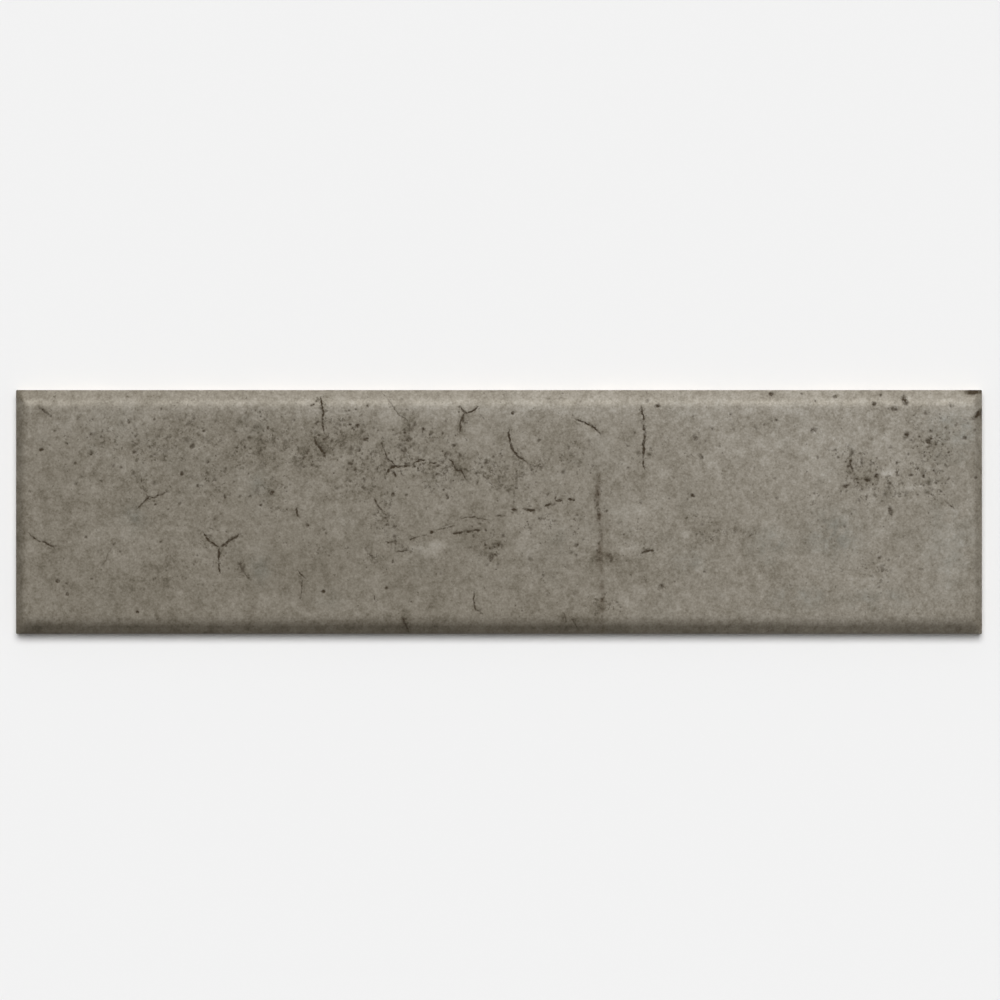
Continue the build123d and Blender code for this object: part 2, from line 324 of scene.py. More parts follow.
HAZE = (
    (180, 424, 18, 14, 0.35), (256, 424, 20, 12, 0.45), (350, 440, 32, 16, 0.6),
    (315, 456, 15, 12, 0.4), (160, 575, 22, 12, 0.3), (408, 425, 9, 13, 0.9),
    (436, 434, 16, 8, 0.35), (358, 474, 16, 12, 0.35), (452, 452, 9, 12, 0.5),
    (461, 465, 9, 9, 0.5), (462, 425, 8, 10, 0.5), (494, 478, 14, 14, 0.35),
    (491, 550, 10, 13, 0.6), (426, 572, 24, 16, 0.3), (733, 423, 18, 9, 0.35),
    (575, 458, 18, 14, 0.25), (865, 474, 22, 12, 0.35), (600, 556, 14, 8, 0.35),
    (405, 616, 8, 11, 0.7), (568, 621, 13, 9, 0.15), (315, 430, 22, 18, 0.3),
    (250, 440, 38, 26, 0.15), (890, 496, 16, 12, 0.3), (560, 620, 18, 8, 0.12),
    (205, 458, 60, 30, 0.2), (115, 480, 50, 26, 0.2), (700, 528, 30, 20, 0.2),
    (410, 600, 60, 16, 0.2), (60, 520, 60, 70, 0.12), (940, 456, 20, 16, 0.25),
    (883, 570, 12, 8, 0.25), (300, 520, 60, 60, 0.1), (463, 468, 7, 9, 0.3), (436, 472, 10, 8, 0.4),
    (490, 459, 10, 7, 0.3), (500, 482, 8, 9, 0.35), (766, 424, 6, 8, 0.4), (698, 447, 9, 16, 0.3),
    (868, 474, 8, 11, 0.5), (888, 493, 10, 10, 0.4), (974, 391.5, 11, 5, 0.7),
    (980, 416, 5, 8, 0.8), (574, 594, 7, 7, 0.4), (602, 607, 12, 7, 0.5), (250, 610, 8, 12, 0.35),
    (166, 578, 16, 14, 0.2), (238, 566, 8, 10, 0.3), (148, 450, 14, 12, 0.25),
    (718, 533, 14, 10, 0.3), (836, 532, 8, 10, 0.5), (953, 514, 12, 3, 0.3), (515, 478, 8, 14, 0.3),
    (44, 411, 9, 7, 0.3), (101, 441, 8, 8, 0.4), (270, 500, 9, 12, 0.35), (608, 556, 10, 5, 0.4),
    (940, 500, 16, 8, 0.25),
)
PALE = (
    (427, 550, 13, 5, 1.0), (438, 544, 10, 4, 0.8), (627, 547, 10, 5, 0.9), (888.5, 474, 8, 4, 1.0),
    (916, 487, 14, 3, 0.8), (869, 465.5, 8, 3, 0.6), (687, 535, 5, 4, 0.8), (906, 459, 14, 8, 0.35),
    (250, 500, 40, 26, 0.15), (640, 520, 30, 26, 0.2), (780, 450, 60, 24, 0.3),
    (560, 410, 90, 14, 0.12), (900, 430, 30, 16, 0.25), (960, 410, 24, 20, 0.3),
    (700, 400, 60, 12, 0.2), (905, 560, 40, 30, 0.2), (85, 430, 30, 20, 0.2),
    (260, 600, 60, 14, 0.15), (850, 440, 40, 14, 0.25), (740, 600, 60, 20, 0.1),
)
GREEN = (
    (835, 535, 26, 22, 0.8), (950, 455, 20, 14, 0.3), (952, 545, 26, 50, 0.4),
    (800, 598, 30, 12, 0.5), (258, 488, 10, 16, 0.5), (261, 568, 10, 14, 0.7),
    (135, 518, 12, 14, 0.5), (255, 425, 14, 12, 0.4), (690, 560, 18, 14, 0.35),
    (770, 545, 20, 18, 0.5), (945, 425, 20, 12, 0.5), (880, 600, 30, 14, 0.4),
    (560, 540, 14, 14, 0.3), (120, 425, 10, 8, 0.3), (330, 600, 14, 10, 0.3),
    (966, 430, 10, 20, 0.5),
)


class TileSizes(bpy.types.PropertyGroup):
    """Sizes of the tile. Those that its solid has too are the same there."""

    edge_drop: FloatProperty(
        name="Edge drop", description="How far the arris lies below the face", default=1.8 * MM, unit="LENGTH"
    )
    side_bevel: FloatProperty(
        name="Side bevel", description="Slope of the bevel on the long sides", default=radians(25),
        subtype="ANGLE",
    )
    end_bevel: FloatProperty(
        name="End bevel", description="Slope of the bevel on the two ends", default=radians(36),
        subtype="ANGLE",
    )
    side_roll: FloatProperty(
        name="Side roll", description="Radius of the roll on the long sides", default=8 * MM, unit="LENGTH"
    )
    end_roll: FloatProperty(
        name="End roll", description="Radius of the roll on the two ends", default=3 * MM, unit="LENGTH"
    )
    mitre_softness: FloatProperty(
        name="Mitre softness", description="How much the mitres are rounded down", default=0.9,
        subtype="FACTOR",
    )
    arris_radius: FloatProperty(
        name="Arris radius", description="Round of the arris and upright corners", default=0.35 * MM,
        unit="LENGTH",
    )
    back_easing: FloatProperty(
        name="Back easing", description="Eased outer edge of the back", default=0.25 * MM, unit="LENGTH"
    )
    pocket_size: FloatProperty(
        name="Pocket size", description="Width of a key pocket at its mouth", default=10.6 * MM, unit="LENGTH"
    )
    pocket_corner_cut: FloatProperty(
        name="Pocket corner cut", description="Cut across a pocket's corners", default=1.2 * MM, unit="LENGTH"
    )
    pocket_depth: FloatProperty(
        name="Pocket depth", description="How deep the key pockets are sunk", default=0.8 * MM, unit="LENGTH"
    )
    pocket_draft: FloatProperty(
        name="Pocket draft", description="Slope of the pocket walls", default=radians(25), subtype="ANGLE"
    )
    rib_width: FloatProperty(
        name="Rib width", description="Width of a rib between two pockets", default=2.4 * MM, unit="LENGTH"
    )
    pocket_columns: IntProperty(name="Pocket columns", description="Pockets along the tile", default=22)
    pocket_rows: IntProperty(name="Pocket rows", description="Pockets across the tile", default=5)
    crack_depth: FloatProperty(
        name="Crack depth", description="Depth of the strongest crack", default=0.1 * MM, unit="LENGTH"
    )
    pit_depth: FloatProperty(
        name="Pit depth", description="Depth of the strongest pit", default=0.12 * MM, unit="LENGTH"
    )
    grid_step: FloatProperty(
        name="Grid step", description="Spacing of the face's mesh", default=0.75 * MM, unit="LENGTH"
    )


class TileColours(bpy.types.PropertyGroup):
    """Colours and finish of the glaze and the bare body."""

    glaze: FloatVectorProperty(
        name="Glaze", description="Middle tone of the glaze", default=(0.186, 0.1655, 0.1315), subtype="COLOR"
    )
    glaze_green: FloatVectorProperty(
        name="Cool glaze", description="Glaze where it turns cool and green", default=(0.158, 0.148, 0.121),
        subtype="COLOR",
    )
    dirt: FloatVectorProperty(
        name="Dirt", description="Dirt in cracks and pits", default=(0.031, 0.020, 0.009), subtype="COLOR"
    )
    grime: FloatVectorProperty(
        name="Grime", description="Fine specks and blots", default=(0.040, 0.030, 0.016), subtype="COLOR"
    )
    rust: FloatVectorProperty(
        name="Rust", description="Rust-brown streak", default=(0.062, 0.043, 0.024), subtype="COLOR"
    )
    biscuit: FloatVectorProperty(
        name="Biscuit", description="Bare fired body", default=(0.40, 0.335, 0.265), subtype="COLOR"
    )
    grit: FloatVectorProperty(
        name="Grit", description="Dark grains in the bare body", default=(0.25, 0.17, 0.11), subtype="COLOR"
    )
    glaze_roughness: FloatProperty(
        name="Glaze roughness", description="Roughness of the satin glaze", default=0.42, subtype="FACTOR"
    )


class StageLook(bpy.types.PropertyGroup):
    """Floor, light and camera."""

    floor: FloatVectorProperty(
        name="Floor", description="Colour of the floor", default=(0.80, 0.80, 0.80), subtype="COLOR"
    )
    overhead_lean: FloatProperty(
        name="Overhead lean", description="Lean of the overhead light that throws the tile's shadow",
        default=radians(15), subtype="ANGLE",
    )
    overhead_spread: FloatProperty(
        name="Overhead spread", description="Angle that the overhead light fills", default=radians(28),
        subtype="ANGLE",
    )
    overhead_strength: FloatProperty(
        name="Overhead strength", description="Overhead light on the floor", default=2.89
    )
    window_lean: FloatProperty(
        name="Window lean", description="Lean of the side light that models the tile's edge",
        default=radians(44), subtype="ANGLE",
    )
    window_turn: FloatProperty(
        name="Window turn", description="Turn of the side light from the photograph's top to its right",
        default=radians(7), subtype="ANGLE",
    )
    window_strength: FloatProperty(
        name="Window strength", description="Side light on the tile", default=3.85
    )
    sheen_lean: FloatProperty(
        name="Sheen lean", description="Lean of the light that the glazed roll reflects",
        default=radians(26), subtype="ANGLE",
    )
    sheen_strength: FloatProperty(
        name="Sheen strength", description="Light that is only reflected", default=1.35
    )
    sky_strength: FloatProperty(name="Sky strength", description="Even light from above", default=0.222)
    horizon_strength: FloatProperty(
        name="Horizon strength", description="Brightness of the backdrop behind the floor", default=0.888
    )
    lens: FloatProperty(name="Lens", description="Focal length", default=400.0, unit="CAMERA")


def on_tile(place):
    """A place in the photograph as millimetres from the middle of the tile."""
    x = (place[0] - PHOTO_MIDDLE[0]) * MM_PER_PIXEL
    y = (PHOTO_MIDDLE[1] - place[1]) * MM_PER_PIXEL
    return Vector((x, y))


class TileForm:
    """The tile's outline and cushion edge, in millimetres."""

    def __init__(self, sizes):
        size = Vector(TILE_HIGH) - Vector(TILE_LOW)
        self.half_length = size.x / MM / 2
        self.half_width = size.y / MM / 2
        self.thickness = size.z / MM
        self.edge_drop = sizes.edge_drop / MM
        self.side_bevel, self.side_roll = sizes.side_bevel, sizes.side_roll / MM
        self.end_bevel, self.end_roll = sizes.end_bevel, sizes.end_roll / MM
        self.mitre_softness = sizes.mitre_softness
        self.arris_radius = sizes.arris_radius / MM
        self.back_easing = sizes.back_easing / MM

        # How far the arris round reaches along the bevel, and so in from the side.
        self.arris_reach = self.arris_radius * tan((pi / 2 - self.side_bevel) / 2)
        self.face_inset = self.arris_reach * cos(self.side_bevel)

    def drop(self, from_side, slope, roll):
        """How far the surface lies below the face, at distances in from one side."""
        roll_drop = roll * (1 - cos(slope))
        roll_run = roll * sin(slope)
        bevel_run = (self.edge_drop - roll_drop) / tan(slope)
        along_roll = np.clip(bevel_run + roll_run - from_side, 0, roll_run)
        on_roll = roll - np.sqrt(roll**2 - along_roll**2)
        on_bevel = self.edge_drop - from_side * tan(slope)
        return np.where(from_side < bevel_run, on_bevel, on_roll)

    def height(self, x, y):
        """Height of the face and its cushion edge over the back, with soft mitres."""
        ends = self.drop(self.half_length - np.abs(x), self.end_bevel, self.end_roll)
        sides = self.drop(self.half_width - np.abs(y), self.side_bevel, self.side_roll)
        lower = np.minimum(ends, sides)
        reach = np.maximum(self.mitre_softness * lower, 1e-9)
        blend = np.maximum(reach - np.abs(ends - sides), 0) / reach
        return self.thickness - np.maximum(ends, sides) - blend**2 * reach / 4

    def painted_edge_shade(self, x, y, ends=-0.28, bottom=-0.41, top=-0.03):
        """Painted shade where the bevels turn from the light, as how much lighter the glaze is, darker below
        0: most on the lower long edge, less on the ends, a little on the upper one.
        """
        on_ends = self.drop(self.half_length - np.abs(x), self.end_bevel, self.end_roll)
        on_sides = self.drop(self.half_width - np.abs(y), self.side_bevel, self.side_roll)
        full_drop = 0.4 * self.edge_drop
        painted_side_shade = np.where(y < 0, bottom, top) * np.clip(on_sides / full_drop, 0, 1)
        return painted_side_shade + (ends - painted_side_shade) * np.clip(on_ends / full_drop, 0, 1)

    def outline(self, inset, step=1.0, corner_steps=4):
        """The plan outline, moved in from the sides, as an anticlockwise loop of places. It
        has the same count of places at any inset."""
        radius = max(self.arris_radius - inset, 0.0)
        across = self.half_length - self.arris_radius
        up = self.half_width - self.arris_radius
        runs = (ceil(2 * up / step), ceil(2 * across / step))
        places = []
        for turn, corner in enumerate(((across, up), (-across, up), (-across, -up), (across, -up))):
            for k in range(corner_steps + 1):
                angle = (turn + k / corner_steps) * pi / 2
                places.append(Vector((corner[0] + radius * cos(angle), corner[1] + radius * sin(angle))))
            nxt = ((-across, up), (-across, -up), (across, -up), (across, up))[turn]
            out = Vector((cos((turn + 1) * pi / 2), sin((turn + 1) * pi / 2))) * radius
            count = runs[(turn + 1) % 2]
            for k in range(1, count):
                places.append(Vector(corner).lerp(Vector(nxt), k / count) + out)
        return places


class Line:
    """A crack or streak as close points that wander a little, each with a half width."""

    def __init__(self, strength, width, route, seed, step=0.45, wander=0.26):
        chance = Random(seed)
        route = [on_tile(place) for place in route]
        points = []
        for start, end in zip(route, route[1:]):
            count = max(1, round((end - start).length / step))
            points += [start.lerp(end, k / count) for k in range(count)]
        points.append(route[-1])

        count = len(points)
        self.points, self.half_widths, self.strengths = [], [], []
        drift = Vector((0.0, 0.0))
        for k, point in enumerate(points):
            # A point keeps half of the last one's drift and adds its own.
            drift = drift * 0.5 + Vector((chance.uniform(-1, 1), chance.uniform(-1, 1))) * wander * 0.6
            # The line is narrower and weaker towards its two ends.
            along = k / max(count - 1, 1)
            taper = min(1.0, 0.45 + 3.5 * min(along, 1 - along))
            self.points.append(point + drift)

            # Width and strength also waver from point to point.
            self.half_widths.append(width / 2 * taper * chance.uniform(0.6, 1.2))
            self.strengths.append(strength * taper * chance.uniform(0.65, 1.0))

    def rails(self, shares=(-1.0, -0.5, 0.0, 0.5, 1.0)):
        """Mesh places on the line and beside it, so that its groove has real sides."""
        places = []
        for k, point in enumerate(self.points):
            ahead = self.points[min(k + 1, len(self.points) - 1)] - self.points[max(k - 1, 0)]
            normal = Vector((-ahead.y, ahead.x)).normalized()
            places += [point + normal * share * self.half_widths[k] for share in shares]
        return places

    def near(self, places, reach):
        """For each run of the line: the places near it, how far off they are, and its half
        width and strength there."""
        for k in range(len(self.points) - 1):
            start, end = np.array(self.points[k]), np.array(self.points[k + 1])
            margin = reach + max(self.half_widths[k], self.half_widths[k + 1])
            inside = (places > np.minimum(start, end) - margin) & (places < np.maximum(start, end) + margin)
            found = np.flatnonzero(inside.all(axis=1))
            run = end - start
            offset = places[found] - start
            share = np.clip(offset @ run / max(run @ run, 1e-12), 0, 1)
            away = np.linalg.norm(offset - share[:, None] * run, axis=1)
            half = self.half_widths[k] * (1 - share) + self.half_widths[k + 1] * share
            strength = self.strengths[k] * (1 - share) + self.strengths[k + 1] * share
            yield found, away, half, strength

    def mark(self, places, field):
        """Raises the field to this line's strength at each place that lies in it."""
        for found, away, half, strength in self.near(places, 0.0):
            field[found] = np.maximum(field[found], strength * np.clip(1 - (away / half) ** 2, 0, 1))

    def stain(self, places, field, reach):
        """Raises the field softly on the line and beside it."""
        for found, away, half, strength in self.near(places, 2 * reach):
            field[found] = np.maximum(field[found], strength * np.exp(-((away / reach) ** 2)))


class Pit:
    """A pinhole or dot: an oval dimple with a ragged rim."""

    def __init__(self, middle, diameter, stretch, turn, strength, seed):
        self.middle = np.array(middle)
        self.long = diameter / 2 * sqrt(stretch)
        self.short = diameter / 2 / sqrt(stretch)
        self.axis = np.array((cos(radians(turn)), sin(radians(turn))))
        self.strength = strength
        chance = Random(seed)
        # The rim's waves: where they start, and how many go round.
        self.phase = chance.uniform(0, 2 * pi)
        self.lobes = chance.choice((2, 3, 3, 5))

    def rings(self, shares=(0.5, 1.0), count=8):
        """Mesh places in the middle and on two rings of the dimple."""
        places = [Vector(self.middle)]
        side = np.array((-self.axis[1], self.axis[0]))
        for share in shares:
            for k in range(count):
                angle = 2 * pi * (k + share) / count
                out = self.long * cos(angle) * self.axis + self.short * sin(angle) * side
                places.append(Vector(self.middle + share * out))
        return places

    def mark(self, places, field):
        """Raises the field to the pit's depth at each place that lies in it."""
        raggedness, reach = 0.15, 1.3 * self.long
        near = np.flatnonzero(np.abs(places - self.middle).max(axis=1) < reach)
        offset = places[near] - self.middle
        u = offset @ self.axis / self.long
        v = offset @ np.array((-self.axis[1], self.axis[0])) / self.short
        rim = 1 + raggedness * np.sin(self.lobes * np.arctan2(v, u) + self.phase)
        depth = self.strength * np.clip(1 - (u * u + v * v) / rim**2, 0, 1)
        field[near] = np.maximum(field[near], depth)


def crumbs(line, seed, spread=0.7, every=2, boost=1.0):
    """Small specks that lie loosely along a crack or streak, one for every so many of its points."""
    chance = Random(seed)
    found = []
    for k in range(0, len(line.points), every):
        middle = line.points[k] + Vector((chance.gauss(0, spread), chance.gauss(0, spread)))
        size, stretch, turn = chance.uniform(0.6, 1.5), chance.uniform(1.0, 1.9), chance.uniform(0, 180)
        strength = line.strengths[k] * boost * chance.uniform(0.3, 0.9)
        found.append(Pit(middle, size, stretch, turn, strength, seed + k))
    return found


def strewn(blobs, seed, largest_area=400, area_per_dot=5):
    """Small dots strewn through the patches, thickest in the middle of each. The areas are
    in pixels, and a patch past the largest area gets no more dots."""
    chance = Random(seed)
    found = []
    for x, y, half_x, half_y, power in blobs:
        for _ in range(round(power * min(half_x * half_y, largest_area) / area_per_dot)):
            middle = on_tile((chance.gauss(x, 0.8 * half_x), chance.gauss(y, 0.8 * half_y)))
            size = 0.8 + 1.2 * chance.random() ** 2
            stretch, turn = chance.uniform(1.0, 1.8), chance.uniform(0, 180)
            found.append(Pit(middle, size, stretch, turn, chance.uniform(0.15, 0.6 + 0.4 * power), seed))
    return found


def patches(places, blobs):
    """Sum of soft oval patches at each place."""
    total = np.zeros(len(places))
    for x, y, half_x, half_y, strength in blobs:
        middle = on_tile((x, y))
        u = (places[:, 0] - middle.x) / (half_x * MM_PER_PIXEL)
        v = (places[:, 1] - middle.y) / (half_y * MM_PER_PIXEL)
        total += strength * np.exp(-(u * u + v * v))
    return total


class FaceMarks:
    """Every crack, streak and pit of the face, and the fields that they make on it."""

    # How far stains reach beside a line, in millimetres.
    crack_reach = 1.0
    rust_reach = 0.75
    scratch_reach = 0.55
    # The streak's own groove, as a share of a crack's.
    streak_groove = 0.3

    def __init__(self):
        self.cracks = [
            Line(power**CRACK_LIFT, CRACK_SPREAD * width, route, seed=k)
            for k, (power, width, route) in enumerate(CRACKS)
        ]
        self.streak = [Line(*part, seed=200 + k, wander=0.5) for k, part in enumerate(STREAK)]
        self.corner = [Line(*part, seed=300 + k, wander=0.2) for k, part in enumerate(CORNER_MARKS)]
        self.scratches = [Line(*part, seed=350 + k, wander=0.1) for k, part in enumerate(SCRATCHES)]
        self.pits = [
            Pit(on_tile((x, y)), PIT_SPREAD * diameter, *rest, seed=400 + k)
            for k, (x, y, diameter, *rest) in enumerate(PITS)
        ]
        self.crumbs = strewn(GRIME, seed=5)
        for k, line in enumerate(self.cracks):
            self.crumbs += crumbs(line, 1000 * (k + 1))
        # The streak and the corner marks break up into more and stronger crumbs.
        for k, line in enumerate(self.streak + self.corner):
            self.crumbs += crumbs(line, 1000 * (k + 101), spread=0.35, every=1, boost=1.4)

    def mesh_places(self):
        """The extra mesh places that the marks need."""
        places = []
        for line in self.cracks + self.streak + self.corner + self.scratches:
            places += line.rails()
        for pit in self.pits:
            places += pit.rings()
        for crumb in self.crumbs:
            places += crumb.rings(shares=(1.0,), count=6)
        return places

    def fields(self, places):
        """The marks' fields at an array of places, by name."""
        crack, pit, rust, stain, scratch, core = (np.zeros(len(places)) for _ in range(6))
        for line in self.cracks + self.corner:
            line.mark(places, crack)
            line.stain(places, stain, self.crack_reach)
        for line in self.streak:
            line.stain(places, rust, self.rust_reach)
            line.mark(places, core)
        for line in self.scratches:
            line.stain(places, scratch, self.scratch_reach)
        for dimple in self.pits + self.crumbs:
            dimple.mark(places, pit)

        # Cracks and the streak bring grime and haze of their own.
        grime = 1.35 * patches(places, GRIME) + 0.8 * stain + 1.1 * rust
        haze = patches(places, HAZE) + 0.5 * stain + 0.35 * rust
        return {
            "crack": np.maximum(crack, self.streak_groove * core),
            "pit": pit,
            "rust": rust,
            "grime": np.clip(grime, 0, 1.3),
            "wash_and_painted_light": patches(places, WASHES_AND_PAINTED_HIGHLIGHT),
            "haze": np.clip(haze, 0, 1.2),
            "pale": np.clip(patches(places, PALE) + scratch, 0, 1),
            "green": np.clip(patches(places, GREEN), 0, 1),
        }


def swell(x, y, edge):
    """Slow unevenness of the pressed face. It is stronger on the cushion edge."""
    # Waves some 30 mm long, and closer ones of under 10 mm.
    broad = noise.noise(Vector((x / 34, y / 22, 0.3)))
    close = noise.noise(Vector((x / 9, y / 7, 4.7)))
    broad_rise, close_rise, edge_rise = 0.035, 0.01, 0.015
    return broad_rise * broad + (close_rise + edge_rise * edge) * close


def triangulate(places, edges=(), merge_distance=0.02, sliver=1e-4):
    """Triangles over a set of places, as (places, faces). Places that all but meet merge."""
    found = delaunay_2d_cdt(places, list(edges), [], 0, merge_distance, False)
    places = found[0]
    faces = []
    for a, b, c in found[2]:
        # Slivers between rim places that are all but in line are left out.
        sides = (places[b] - places[a], places[c] - places[b], places[a] - places[c])
        if abs(sides[0].cross(sides[1])) > sliver * max(side.length for side in sides):
            faces.append((a, b, c))
    return places, faces


class TileMesh:
    """Collects the parts of the tile's closed surface, in millimetres."""

    def __init__(self):
        self.points, self.faces = [], []

    def add(self, points, faces):
        """Adds a part whose faces count its own points from 0."""
        base = len(self.points)
        self.points += [tuple(point) for point in points]
        self.faces += [tuple(base + k for k in face) for face in faces]

    def add_rings(self, rings):
        """A strip of quads from each closed ring to the next, with the rings anticlockwise."""
        count = len(rings[0])
        faces = []
        for level in range(len(rings) - 1):
            for k in range(count):
                nxt = (k + 1) % count
                top, low = level * count, (level + 1) * count
                faces.append((top + nxt, top + k, low + k, low + nxt))
        self.add([point for ring in rings for point in ring], faces)


def add_face(mesh, form, marks, step):
    """The glazed face with its cushion edge, and mesh places for its cracks and pits."""
    inset = form.face_inset
    rim = form.outline(inset)
    clear_of_rim = 0.25
    extra = [
        place for place in marks.mesh_places()
        if abs(place.x) < form.half_length - inset - clear_of_rim
        and abs(place.y) < form.half_width - inset - clear_of_rim
    ]

    # The grid leaves out the places that the marks have taken.
    cell_size = 0.3
    taken = {(round(place.x / cell_size), round(place.y / cell_size)) for place in extra}
    grid_inset = 0.6
    half_x = form.half_length - inset - grid_inset
    half_y = form.half_width - inset - grid_inset
    columns, rows = round(2 * half_x / step), round(2 * half_y / step)
    grid = []
    for i in range(columns + 1):
        for j in range(rows + 1):
            x = (i / columns * 2 - 1) * half_x
            y = (j / rows * 2 - 1) * half_y
            cell = (round(x / cell_size), round(y / cell_size))
            if not any((cell[0] + a, cell[1] + b) in taken for a in (-1, 0, 1) for b in (-1, 0, 1)):
                grid.append(Vector((x, y)))
    places, faces = triangulate(rim + extra + grid)

    flat = np.array([tuple(place) for place in places])
    heights = form.height(flat[:, 0], flat[:, 1])
    mesh.add([(x, y, z) for (x, y), z in zip(flat, heights)], faces)


def side_rings(form, round_steps=4, side_levels=7, hollow=0.08):
    """Rings of the arris round, the upright side and its eased lower edge. The side is up to
    half of the hollow deeper in places."""
    rings = []

    # The arris round. Its first ring is the rim of the face, which lies a little off its
    # usual height on the ends and at the mitres, and the round takes that up.
    turn = pi / 2 - form.side_bevel
    centre_z = form.thickness - form.edge_drop - form.arris_reach
    rim_z = centre_z + form.arris_radius * cos(form.side_bevel)
    off = [float(form.height(place.x, place.y)) - rim_z for place in form.outline(form.face_inset)]
    for k in range(round_steps + 1):
        angle = turn * k / round_steps
        inset = form.arris_radius * (1 - sin(form.side_bevel + angle))
        height = centre_z + form.arris_radius * cos(form.side_bevel + angle)
        ring = []
        for place, rise in zip(form.outline(inset), off):
            ring.append((place.x, place.y, height + rise * (1 - k / round_steps)))
        rings.append(ring)

    # The upright side, uneven all but along its lowest ring.
    top, bottom = centre_z, form.back_easing
    for level in range(1, side_levels + 1):
        height = top + (bottom - top) * level / side_levels
        ring = []
        for edge, inner in zip(form.outline(0), form.outline(hollow)):
            rough = 0.5 + noise.noise(Vector((edge.x / 5, edge.y / 5, height / 2.5)))
            share = 0.0 if level == side_levels else max(0.0, min(1.0, rough)) * 0.5
            place = edge.lerp(inner, share)
            ring.append((place.x, place.y, height))
        rings.append(ring)

    rings.append([(place.x, place.y, 0.0) for place in form.outline(form.back_easing)])
    return rings


def four_turns(quarter, height):
    """The places of one quarter, turned round to all four, at one height."""
    points = []
    for turn in range(4):
        for x, y in quarter:
            for _ in range(turn):
                x, y = -y, x
            points.append((x, y, height))
    return points


def pocket_cell(sizes):
    """One key pocket with half of the ribs around it, as (points, faces) in millimetres."""
    pitch = (sizes.pocket_size + sizes.rib_width) / MM
    mouth = sizes.pocket_size / MM / 2
    cut = sizes.pocket_corner_cut / MM
    depth = sizes.pocket_depth / MM
    run = depth * tan(sizes.pocket_draft)

    def ring(half, cut, height):
        """A square with softly cut corners."""
        start, middle = half - 1.25 * cut, half - 0.3 * cut
        return four_turns(((half, 0.0), (half, start), (middle, middle), (start, half)), height)

    def border(half):
        """The cell's own square outline, with as many points as a ring."""
        return four_turns(((half, 0.0), (half, half / 2), (half, half), (half / 2, half)), 0.0)

    # The border, the two rings of the eased mouth, the two of the eased foot of the wall,
    # and one on the floor, which sags a little towards its middle.
    foot = mouth - run
    rings = [
        border(pitch / 2),
        ring(mouth + 0.12, cut + 0.05, 0.0),
        ring(mouth - 0.07, cut, 0.1),
        ring(foot + 0.07, cut, depth - 0.12),
        ring(foot - 0.15, cut, depth),
        ring(foot - 2.2, cut, depth - 0.03),
    ]
    count = len(rings[0])
    points = [point for one in rings for point in one] + [(0.0, 0.0, depth - 0.05)]
    faces = []
    for level in range(len(rings) - 1):
        for k in range(count):
            nxt = (k + 1) % count
            low, high = level * count, (level + 1) * count
            faces.append((low + k, high + k, high + nxt, low + nxt))
    last = (len(rings) - 1) * count
    faces += [(last + k, len(points) - 1, last + (k + 1) % count) for k in range(count)]
    return points, faces


def key_tree():
    """Geometry Nodes tree that repeats one pocket cell over the back."""
    tree = bpy.data.node_groups.new("Keyed back", "GeometryNodeTree")
    interface = tree.interface
    interface.new_socket("Cell", in_out="INPUT", socket_type="NodeSocketGeometry")
    for name, kind in (
        ("Columns", "NodeSocketInt"), ("Rows", "NodeSocketInt"), ("Pitch", "NodeSocketFloat"),
        ("Material", "NodeSocketMaterial"),
    ):
        interface.new_socket(name, in_out="INPUT", socket_type=kind)
    interface.new_socket("Back", in_out="OUTPUT", socket_type="NodeSocketGeometry")

    nodes, links = tree.nodes, tree.links
    given = nodes.new("NodeGroupInput")
    grid = nodes.new("GeometryNodeMeshGrid")
    for count, vertices, size in (("Columns", "Vertices X", "Size X"), ("Rows", "Vertices Y", "Size Y")):
        steps = nodes.new("ShaderNodeMath")
        steps.operation = "SUBTRACT"
        links.new(given.outputs[count], steps.inputs[0])
        steps.inputs[1].default_value = 1.0
        span = nodes.new("ShaderNodeMath")
        span.operation = "MULTIPLY"
        links.new(steps.outputs[0], span.inputs[0])
        links.new(given.outputs["Pitch"], span.inputs[1])
        links.new(span.outputs[0], grid.inputs[size])
        links.new(given.outputs[count], grid.inputs[vertices])

    chain = (
        ("GeometryNodeInstanceOnPoints", "Points", "Instances"),
        ("GeometryNodeRealizeInstances", "Geometry", "Geometry"),
        ("GeometryNodeMergeByDistance", "Geometry", "Geometry"),
        ("GeometryNodeSetMaterial", "Geometry", "Geometry"),
    )
    merge_distance = 0.01 * MM
    flow = grid.outputs["Mesh"]
    for kind, way_in, way_out in chain:
        node = nodes.new(kind)
        links.new(flow, node.inputs[way_in])
        flow = node.outputs[way_out]
        if "Instance" in node.inputs:
            links.new(given.outputs["Cell"], node.inputs["Instance"])
        if "Distance" in node.inputs:
            node.inputs["Distance"].default_value = merge_distance
        if "Material" in node.inputs:
            links.new(given.outputs["Material"], node.inputs["Material"])
    links.new(flow, nodes.new("NodeGroupOutput").inputs["Back"])
    return tree


def keyed_back(sizes, material):
    """The repeated pockets as (points, faces) in millimetres, made by the tree."""
    points, faces = pocket_cell(sizes)
    mesh = bpy.data.meshes.new("pocket_cell")
    mesh.from_pydata([Vector(point) * MM for point in points], [], faces)
    cell = bpy.data.objects.new("pocket_cell", mesh)
    bpy.context.scene.collection.objects.link(cell)
    tree = key_tree()
    given = {
        "Columns": sizes.pocket_columns,
        "Rows": sizes.pocket_rows,
        "Pitch": sizes.pocket_size + sizes.rib_width,
        "Material": material,
    }
    modifier = cell.modifiers.new("Keyed back", "NODES")
    modifier.node_group = tree
    for socket in tree.interface.items_tree:
        if socket.in_out == "INPUT" and socket.name in given:
            modifier[socket.identifier] = given[socket.name]

    graph = bpy.context.evaluated_depsgraph_get()
    made = bpy.data.meshes.new_from_object(cell.evaluated_get(graph))
    cell.modifiers.remove(modifier)
    points = [vertex.co / MM for vertex in made.vertices]
    faces = [tuple(face.vertices) for face in made.polygons]
    bpy.data.objects.remove(cell)
    for spare in (mesh, made):
        bpy.data.meshes.remove(spare)
    bpy.data.node_groups.remove(tree)
    return points, faces


